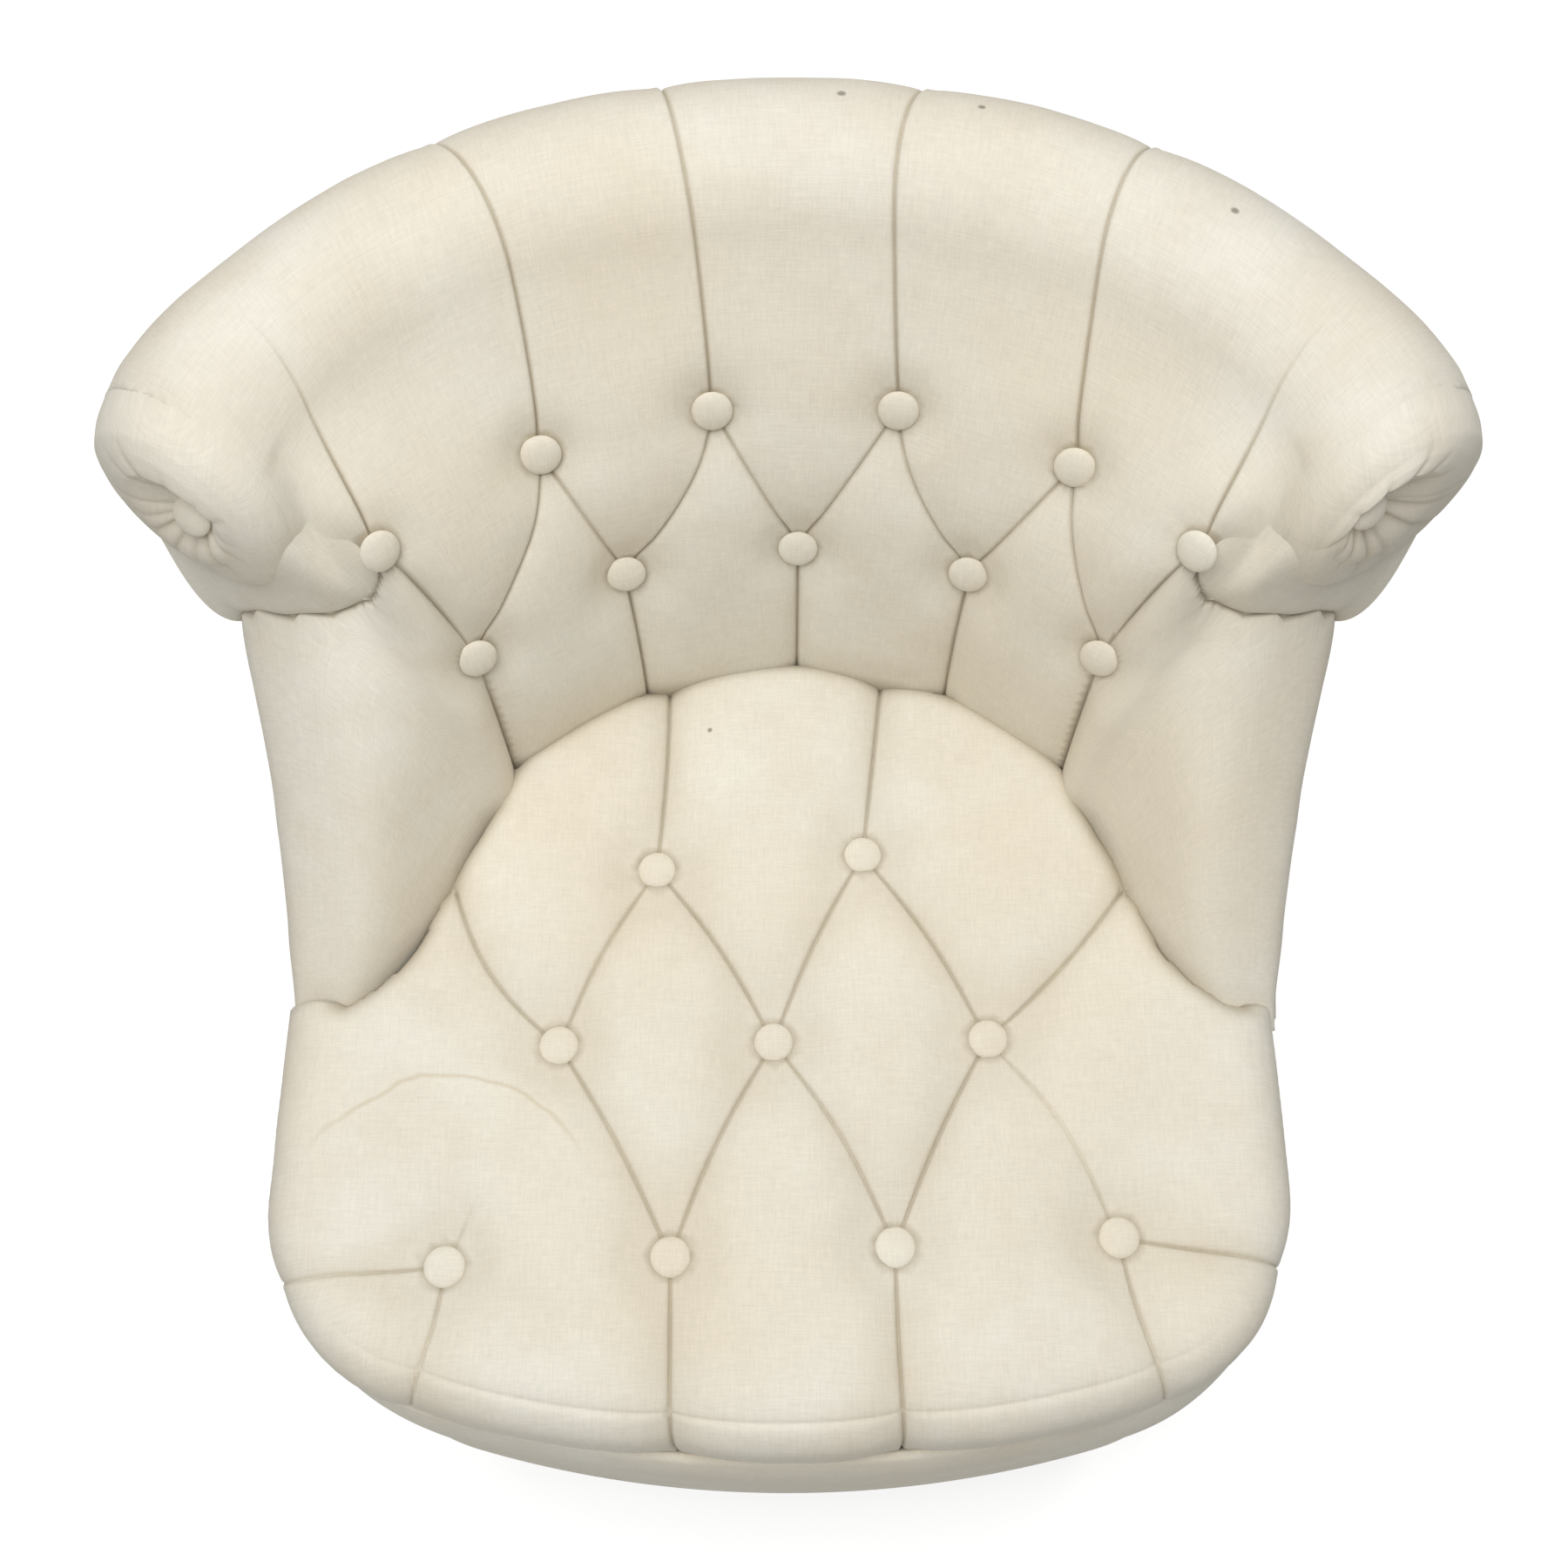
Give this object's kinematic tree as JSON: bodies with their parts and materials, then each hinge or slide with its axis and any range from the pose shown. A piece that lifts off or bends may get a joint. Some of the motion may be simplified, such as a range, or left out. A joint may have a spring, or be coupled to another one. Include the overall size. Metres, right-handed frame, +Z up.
{
  "type": "deep-buttoned tub chair",
  "caption": "Low tub chair with a deep-buttoned curved back, rolled top edge with gathered scroll ends, sloping arms, tufted D-shaped seat and wooden legs.",
  "frame": {"origin": "on the floor under the middle of the chair's footprint", "axes": "+Z up, the sitter faces -Y, +X towards the sitter's left"},
  "size_m": [0.7266, 0.6973, 0.7351],
  "materials": {
    "linen": "woven natural linen, matte",
    "foam": "cut foam and wadding",
    "beech": "planed, unfinished",
    "leg_wood": "dark stain, satin lacquer",
    "glide": "moulded",
    "steel": "zinc plated",
    "webbing": "woven elastic webbing",
    "hessian": "coarse open weave",
    "lining": "non-woven cambric"
  },
  "bodies": {
    "root": {"arm_post_left": "beech", "arm_post_right": "beech", "arm_rail_left": "beech", "arm_rail_right": "beech", "arm_stump_left": "beech", "arm_stump_right": "beech", "back_block_left": "beech", "back_block_right": "beech", "back_buttons": "linen", "back_leg_left": "leg_wood", "back_leg_right": "leg_wood", "back_post_left": "beech", "back_post_right": "beech", "back_straps": "webbing", "block_screws": "steel", "dust_cover": "lining", "front_block_left": "beech", "front_block_right": "beech", "front_leg_left": "leg_wood", "front_leg_right": "leg_wood", "inside_arm_left": "linen", "inside_arm_right": "linen", "inside_back": "linen", "leg_bolts": "steel", "leg_glides": "glide", "outside_arm_left": "linen", "outside_arm_right": "linen", "outside_back": "linen", "scroll_buttons": "linen", "scroll_end_left": "linen", "scroll_end_right": "linen", "seat_back_rail": "beech", "seat_border": "linen", "seat_buttons": "linen", "seat_foam": "foam", "seat_front_rail": "beech", "seat_hessian": "hessian", "seat_pad": "linen", "seat_side_rail_left": "beech", "seat_side_rail_right": "beech", "seat_straps_cross": "webbing", "seat_straps_long": "webbing", "tacking_rail": "beech", "top_rail": "beech"}
  },
  "joints": []
}
